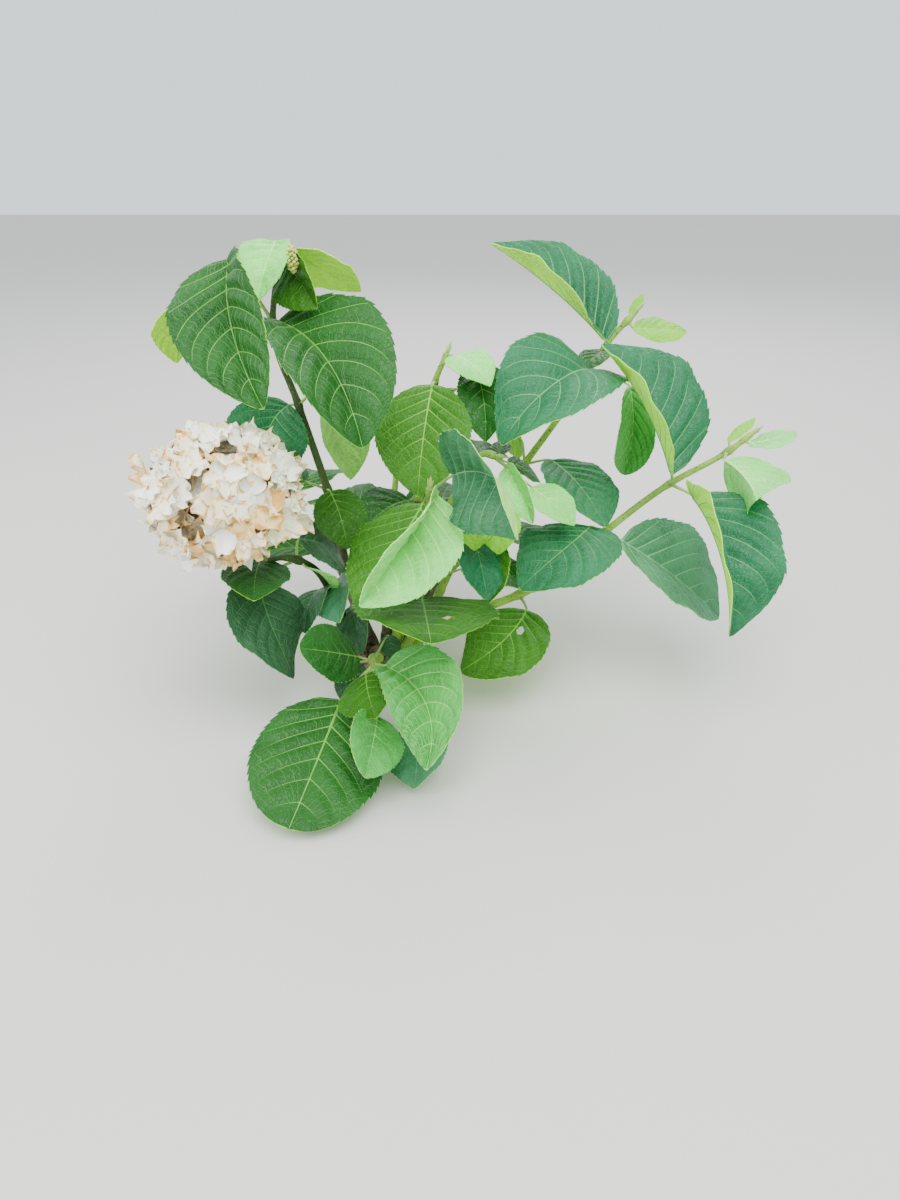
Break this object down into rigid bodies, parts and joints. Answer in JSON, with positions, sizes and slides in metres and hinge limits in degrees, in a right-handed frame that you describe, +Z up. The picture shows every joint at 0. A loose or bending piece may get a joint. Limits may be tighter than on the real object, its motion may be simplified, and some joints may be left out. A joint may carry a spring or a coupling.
{
  "type": "hydrangea shrub",
  "caption": "Young mophead hydrangea shrub: leaning green canes with broad serrated leaves and a fading cream flower head, cut flat at ground level.",
  "frame": {"origin": "centre of the flat cut under the root crown, at ground level", "axes": "+Z straight up from the ground; +X towards the long leaning right-hand cane; the picture looks along +Y"},
  "size_m": [0.6179, 0.5123, 0.4368],
  "materials": {
    "old_wood": "rough woody base of old cut canes",
    "cane": "satin green young bark with dark flecks",
    "foliage": "satin leaf with sunk veins",
    "petals": "matte cream petals, browned at the edges"
  },
  "bodies": {
    "root": {"root_crown": "old_wood", "stem_left_tall": "cane", "foliage_left_tall": "foliage", "stem_flowering": "cane", "foliage_flowering": "foliage", "flower_head": "petals", "stem_rear_right": "cane", "foliage_rear_right": "foliage", "stem_right": "cane", "foliage_right": "foliage", "stem_centre": "cane", "foliage_centre": "foliage", "stem_front": "cane", "foliage_front": "foliage", "stem_low_front": "cane", "foliage_low_front": "foliage", "stem_inner_right": "cane", "foliage_inner_right": "foliage", "stem_inner_front": "cane", "foliage_inner_front": "foliage", "stem_rear_left": "cane", "foliage_rear_left": "foliage", "stem_rear": "cane", "foliage_rear": "foliage", "stem_low_rear": "cane", "foliage_low_rear": "foliage"}
  },
  "joints": []
}
